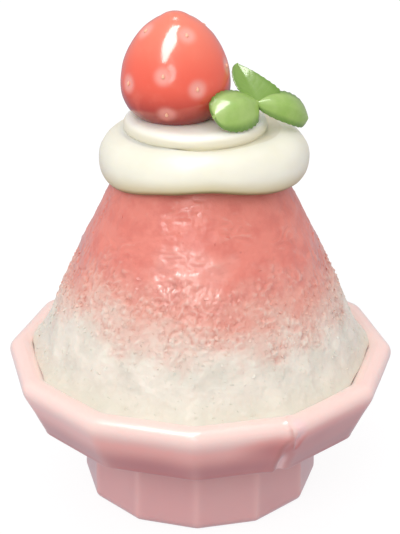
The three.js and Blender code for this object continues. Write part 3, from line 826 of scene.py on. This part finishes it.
def whipped():
    """Matt cream, with painted light on the tier's top, painted yellowish shade on the tier's side and the
    underside, and a painted olive shadow along its lower edge.
    """
    finish = Finish("whipped_cream", ior=1.4, subsurface_weight=0.5,
                    subsurface_scale=2.5 * MM, coat_weight=0.12, coat_roughness=0.3)
    finish.set("Subsurface Radius", (1.0, 0.9, 0.7))
    cloud = finish.noise(12, 3, 0.5)
    colour = finish.mix(finish.spread(cloud, 0.35, 0.7), linear(242, 239, 222), linear(238, 235, 216))
    # Painted light on the tier's top.
    colour = finish.mix(finish.spread(finish.height(), 125.5, 127.5), colour, linear(250, 248, 234))
    # Painted yellowish shade on the underside and the tier's side, and a painted olive shadow along the lower
    # edge.
    colour = finish.tint(colour, finish.kept("under"), 0.95, linear(219, 207, 156))
    colour = finish.tint(colour, finish.kept("tier"), 0.8, linear(226, 220, 196))
    colour = finish.tint(colour, finish.kept("edge"), 0.95, linear(136, 132, 84))
    finish.set("Base Color", colour)
    finish.set("Roughness", finish.spread(cloud, 0.3, 0.7, 0.38, 0.5))
    streak = finish.noise(2.4, 3, 0.5, 0.6, finish.stretched(1, 1, 3))
    fine = finish.bump(finish.noise(0.6, 2, 0.5), 0.03, 0.5)
    finish.set("Normal", finish.bump(streak, 0.1, 0.3, fine))
    return finish.material


# -------- strawberry


def berry_radius(t):
    """The strawberry's radius by t, its height from -1 at the bottom to 1 at the tip."""
    power = np.where(t < 0, BERRY_SHOULDER, 2.0)
    return BERRY_RADIUS * np.sqrt(np.maximum(0, 1 - np.abs(t) ** power)) * (1 - BERRY_TAPER * t)


def berry_skin(azimuth, t):
    """Spots of the smooth skin, about the strawberry's middle."""
    tip = BERRY_TIP * smoothstep(t, 0.93, 1.0)
    return around(azimuth, berry_radius(t), t * BERRY_HALF + tip)


def seed_places():
    """Azimuth and t of each of the seeds, four to a ring."""
    for t, first in SEED_RINGS:
        for quarter in range(4):
            yield math.radians(first + 90 * quarter + 5 * math.sin(7 * quarter + 9 * t)), t


def berry_frame(azimuth, t):
    """Sideways, upwards and outwards directions at a spot of the skin."""
    up = unit(berry_skin(azimuth, t + 0.02) - berry_skin(azimuth, t - 0.02))
    side = np.array([math.cos(azimuth), math.sin(azimuth), 0])
    return side, up, np.cross(side, up)


def make_berry(material):
    azimuth = turn_round(BERRY_RAYS)
    t = -np.cos(np.linspace(0, math.pi, BERRY_ROWS))[1:-1, None]
    skin = berry_skin(azimuth[None], t)
    spots = np.array([berry_skin(np.array(a), np.array(h)) for a, h in seed_places()])
    near = np.min(np.linalg.norm(skin[:, :, None] - spots[None, None], axis=-1), axis=-1)
    soft = 0.14 * noise(skin / 9, 101) + 0.05 * noise(skin / 4, 102)
    share = near / DIMPLE_RADIUS
    sunk = DIMPLE_DEPTH * np.exp(-1.5 * share**2) - 0.04 * hump(share, 1.5, 0.45)
    rings = skin + unit(skin) * (soft - sunk)[..., None] + BERRY_CENTRE
    points, faces = closed_rings(rings)
    piece = piece_of("berry_flesh", points, faces, material)
    # The spots are fainter low down, as painted shade.
    spot = np.exp(-((near / SPOT_RADIUS) ** 4)) * lerp(0.4, 1, smoothstep(rings[..., 2], 129, 139))
    store(piece, "spot", spot)
    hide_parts("strawberry")


def seed_rings(azimuth, t):
    """Rings round one seed, from its round end to its pointed one up the berry."""
    side, up, out = berry_frame(azimuth, t)
    middle = berry_skin(np.array(azimuth), np.array(t)) + BERRY_CENTRE - out * (DIMPLE_DEPTH - SEED_LIFT)
    lengthwise = -np.cos(np.linspace(0, math.pi, 12))[1:-1, None]
    width = np.sqrt(1 - lengthwise**2) * (1 - 0.28 * lengthwise)
    turn = turn_round(14)
    return (middle + up * SEED_SIZE[1] * lengthwise[..., None]
            + side * (SEED_SIZE[0] * width * np.cos(turn))[..., None]
            - out * (SEED_SIZE[2] * width * np.sin(turn))[..., None])


def make_seeds(material):
    """The seeds as teardrops lying in their dimples."""
    points, faces = closed_bodies([seed_rings(azimuth, t) for azimuth, t in seed_places()])
    piece = piece_of("berry_seeds", points, faces, material)


def berry_skin_finish():
    """Glossy skin, red with painted light above and painted shade below, and pale spots round the seeds."""
    finish = Finish("strawberry_skin", ior=1.42, subsurface_weight=0.18,
                    subsurface_scale=2.5 * MM, coat_weight=0.8, coat_roughness=0.14,
                    coat_ior=1.7, specular_ior_level=0.15)
    finish.set("Subsurface Radius", (1.0, 0.3, 0.2))
    z = finish.height()
    cloud = finish.noise(7, 3, 0.5)
    top, middle, low = linear(253, 136, 110), linear(250, 105, 81), linear(136, 8, 6)
    # Painted light on the top and painted shade on the lower half.
    colour = finish.mix(finish.spread(z, 142, 160), middle, top)
    colour = finish.mix(finish.spread(z, 143, 127.5), colour, low)
    colour = finish.mix(finish.spread(cloud, 0.5, 0.8, 0, 0.3), colour, top)
    colour = finish.tint(colour, finish.kept("spot"), 0.85, linear(253, 176, 162))
    finish.set("Base Color", colour)
    finish.set("Roughness", finish.spread(cloud, 0.3, 0.75, 0.28, 0.36))
    finish.set("Normal", finish.bump(finish.noise(1.3, 3, 0.5), 0.04, 0.3))
    return finish.material


def seed_finish():
    finish = Finish("strawberry_seeds", roughness=0.35, ior=1.45)
    colour = finish.mix(finish.noise(0.8, 2, 0.5), linear(252, 196, 160), linear(246, 178, 148))
    finish.set("Base Color", colour)
    finish.set("Normal", finish.bump(finish.noise(0.3, 2, 0.5), 0.02, 0.4))
    return finish.material


# -------- mint


def leaf_width(u, shape):
    """A leaf's half width along it, from half its greatest one and how early and late it tapers."""
    half_width, early, late = shape
    peak = early / (early + late)
    return 0.3 + half_width * (u / peak) ** early * ((1 - u) / (1 - peak)) ** late


def leaf_rings(leaf):
    """Rings round a leaf's cross-sections from the sprig's node to its tip, and each point's u and v."""
    tip = np.array(leaf["tip"])
    length = np.linalg.norm(tip - SPRIG_NODE)
    forward = unit(tip - SPRIG_NODE)
    side = np.array(leaf["side"])
    aside = unit(side - forward * (side @ forward))
    up = np.cross(aside, forward)
    u = (0.5 - 0.5 * np.cos(np.linspace(0.06, math.pi - 0.02, LEAF_STEPS)))[:, None]
    turn = turn_round(LEAF_STEPS)[None]
    v = np.sign(np.cos(turn)) * np.abs(np.cos(turn)) ** 0.9
    face = np.sin(turn)
    width = np.where(v < 0, leaf_width(u, leaf["left"]), leaf_width(u, leaf["right"]))
    scallop = 1 + 0.02 * np.sin(2 * math.pi * 9 * u) * np.abs(v) ** 6
    middle = np.sin(math.pi * u)
    thick = LEAF_PLUMPNESS * lerp(LEAF_MIDRIB, LEAF_EDGE, np.abs(v))
    lift = (leaf["arch"] * middle + leaf["fold"] * np.abs(v) ** 1.5 * middle**0.5
            + leaf["wave"] * np.abs(v) * np.sin(3 * math.pi * u + v))
    vein = np.abs(((u * VEINS - np.abs(v) * VEIN_SLANT) % 1) - 0.5) * 2
    quilted = 0.06 * (1 - vein**6) * np.abs(v) * (1 - np.abs(v)) * 4 * middle - 0.1 * hump(v, 0, 0.12)
    lift = lift + quilted + np.sign(face) * np.abs(face) ** 0.6 * thick / 2
    rings = (SPRIG_NODE + forward * (u * length)[..., None] + aside * (v * width * scallop)[..., None]
             + up * lift[..., None])
    u, v = np.broadcast_arrays(u, v)
    return rings[:, ::-1], u[:, ::-1], v[:, ::-1]


def make_leaves(material):
    parts = [leaf_rings(leaf) for leaf in LEAVES]
    points, faces = closed_bodies([rings for rings, _, _ in parts])
    piece = piece_of("mint_leaves", points, faces, material)
    store(piece, "along", np.concatenate([[*u.ravel(), 0, 1] for _, u, _ in parts]))
    store(piece, "across", np.concatenate([[*v.ravel(), 0, 0] for _, _, v in parts]))
    store(piece, "painted_leaf_shade", np.repeat([leaf["painted_leaf_shade"] for leaf in LEAVES], len(points) // len(LEAVES)))
    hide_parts("mint_sprig")


def make_stem(material):
    """The stem from its foot in the cream to the leaves, with a rounded knot where they meet."""
    path = spline([STEM_FOOT, lerp(STEM_FOOT, SPRIG_NODE, 0.5) + (0.15, 0.1, 0), SPRIG_NODE], STEM_STEPS)
    lengthwise = unit(SPRIG_NODE - STEM_FOOT)
    side = unit(np.cross(lengthwise, (0, 1, 0)))
    front = np.cross(lengthwise, side)
    turn = turn_round(STEM_STEPS)
    rings = []
    for share, middle in zip(np.linspace(0, 1, len(path)), path):
        r = STEM_RADIUS * (1 - 0.12 * share + 0.45 * math.exp(-(((share - 0.97) / 0.09) ** 2)))
        r = r * (1 + 0.05 * np.cos(4 * turn))
        rings.append(middle + side * (r * np.cos(turn))[:, None] + front * (r * np.sin(turn))[:, None])
    for out, up in arc((0, 0), (1.2, 1.0), 20, 80, 5):
        r = STEM_RADIUS * out
        rings.append(path[-1] + lengthwise * up + side * (r * np.cos(turn))[:, None]
                     + front * (r * np.sin(turn))[:, None])
    points, faces = closed_rings(np.array(rings))
    piece = piece_of("mint_stem", points, faces, material)
    for name, value in (("along", 0.1), ("across", 0.5), ("painted_leaf_shade", 0.2)):
        store(piece, name, np.full(len(points), value))


def mint():
    """Leaf green, with painted shade at the edges and over whole leaves, most on the upper one, and faint
    side veins.
    """
    finish = Finish("mint_leaf", roughness=0.36, ior=1.45, subsurface_weight=0.1, coat_weight=0.6,
                    coat_roughness=0.13, subsurface_scale=1.2 * MM)
    finish.set("Subsurface Radius", (0.6, 1.0, 0.2))
    along, across = finish.kept("along"), finish.maths("ABSOLUTE", finish.kept("across"))
    cloud = finish.noise(5, 3, 0.5)
    colour = finish.mix(finish.spread(cloud, 0.3, 0.7), linear(154, 190, 92), linear(170, 200, 112))
    midrib = finish.spread(across, 0.02, 0.1, 0.2, 0)
    colour = finish.mix(midrib, colour, linear(170, 200, 112))
    # Painted shade at the leaves' edges, then over whole leaves and the stem.
    colour = finish.mix(finish.spread(across, 0.62, 1.0, 0, 0.8), colour, linear(84, 124, 44))
    colour = finish.mix(finish.kept("painted_leaf_shade"), colour, linear(112, 152, 50))
    slanted = finish.maths("SUBTRACT", finish.times(along, VEINS), finish.times(across, VEIN_SLANT))
    ridge = finish.maths("ABSOLUTE", finish.maths("SUBTRACT", finish.maths("FRACT", slanted), 0.5))
    colour = finish.mix(finish.spread(ridge, 0.44, 0.5, 0, 0.16), colour, linear(166, 196, 108))
    finish.set("Base Color", colour)
    finish.set("Normal", finish.bump(finish.noise(0.9, 3, 0.5), 0.05, 0.3))
    return finish.material


# -------- floor, light and camera


def make_floor():
    """A wide pale floor that lights nothing and isn't reflected in anything."""
    mesh = bpy.data.meshes.new("floor")
    corners = [(x * FLOOR_REACH, y * FLOOR_REACH, 0) for x, y in ((-1, -1), (1, -1), (1, 1), (-1, 1))]
    mesh.from_pydata(corners, [], [(0, 1, 2, 3)])
    floor = added("floor", mesh)
    finish = Finish("pale_floor", roughness=0.6, specular_ior_level=0.2)
    finish.set("Base Color", FLOOR_GREY)
    finish.set("Emission Color", (1, 1, 1, 1))
    finish.set("Emission Strength", FLOOR_GLOW)
    mesh.materials.append(finish.material)
    floor.visible_diffuse = False
    floor.visible_glossy = False


def direction(height, azimuth):
    """The direction at a height over the horizon and an azimuth."""
    return Vector((math.sin(azimuth) * math.cos(height), -math.cos(azimuth) * math.cos(height),
                   math.sin(height)))


def face(thing, turn):
    """Turns a lamp or camera by a quaternion."""
    thing.rotation_mode = "QUATERNION"
    thing.rotation_quaternion = turn


def softbox(name, place, size, power, colour=(1, 1, 1), fill=False):
    """A soft oval panel that only shows in what is glossy, or a fill that doesn't show there."""
    lamp = bpy.data.lights.new(name, "AREA")
    lamp.shape = "ELLIPSE"
    lamp.size, lamp.size_y = size
    lamp.energy = power
    lamp.color = colour
    holder = added(name, lamp)
    holder.location = place
    face(holder, (Vector(AIM) - Vector(place)).to_track_quat("-Z", "Y"))
    holder.visible_diffuse, holder.visible_glossy = fill, not fill


def make_sky():
    """A studio sky, bright overhead and dim from below, and one even colour in reflections."""
    world = bpy.data.worlds.new("studio")
    world.use_nodes = True
    nodes, links = world.node_tree.nodes, world.node_tree.links
    up = nodes.new("ShaderNodeSeparateXYZ")
    links.new(nodes.new("ShaderNodeTexCoord").outputs["Generated"], up.inputs[0])
    ramp = nodes.new("ShaderNodeValToRGB")
    height = nodes.new("ShaderNodeMapRange")
    height.inputs["From Min"].default_value = -1
    links.new(up.outputs["Z"], height.inputs["Value"])
    links.new(height.outputs["Result"], ramp.inputs["Fac"])
    ramp.color_ramp.elements[0].position = 0.42
    ramp.color_ramp.elements[1].position = 1.0
    for element, colour in zip(ramp.color_ramp.elements, SKY_COLOURS[::2]):
        element.color = colour + (1,)
    middle = ramp.color_ramp.elements.new(0.5)
    middle.color = SKY_COLOURS[1] + (1,)
    seen = nodes.new("ShaderNodeMix")
    seen.data_type = "RGBA"
    links.new(nodes.new("ShaderNodeLightPath").outputs["Is Glossy Ray"], seen.inputs[0])
    links.new(ramp.outputs["Color"], seen.inputs[6])
    seen.inputs[7].default_value = SKY_IN_GLOSS + (1,)
    links.new(seen.outputs[2], nodes["Background"].inputs["Color"])
    bpy.context.scene.world = world


def make_light():
    make_sky()
    key = bpy.data.lights.new("key", "SUN")
    key.energy, key.angle = KEY_POWER, KEY_SPREAD
    holder = added("key", key)
    face(holder, direction(KEY_HEIGHT, KEY_AZIMUTH).to_track_quat("Z", "Y"))
    holder.visible_glossy = False
    softbox("strip_above", (-0.11, -0.2, 0.72), (0.29, 0.8), 7.8)
    softbox("soft_front", (-0.11, -0.94, 0.56), (0.4, 0.46), 1.8)
    softbox("fill_right", (0.6, -0.05, 0.03), (0.5, 0.4), 0.38, FILL_TINT, fill=True)
    softbox("fill_left", (-0.6, -0.1, 0.03), (0.5, 0.4), 0.12, FILL_TINT, fill=True)


def make_camera():
    lens = bpy.data.cameras.new("camera")
    lens.sensor_width = SENSOR
    lens.lens = FOCAL_PIXELS * SENSOR / PICTURE_HEIGHT
    camera = added("camera", lens)
    back = direction(CAMERA_TILT, CAMERA_AZIMUTH)
    camera.location = Vector(CAMERA_TARGET) + back * CAMERA_DISTANCE
    face(camera, back.to_track_quat("Z", "Y"))
    bpy.context.scene.camera = camera


# -------- the dessert

make_camera()
make_bowl(glaze())
make_ice(wet_ice("syrup_ice", 0.85))
make_flakes(wet_ice("loose_ice", 0.3))
make_cream(whipped())
make_berry(berry_skin_finish())
make_seeds(seed_finish())
green = mint()
make_leaves(green)
make_stem(green)
make_floor()
make_light()
bpy.context.scene.view_settings.view_transform = "Standard"
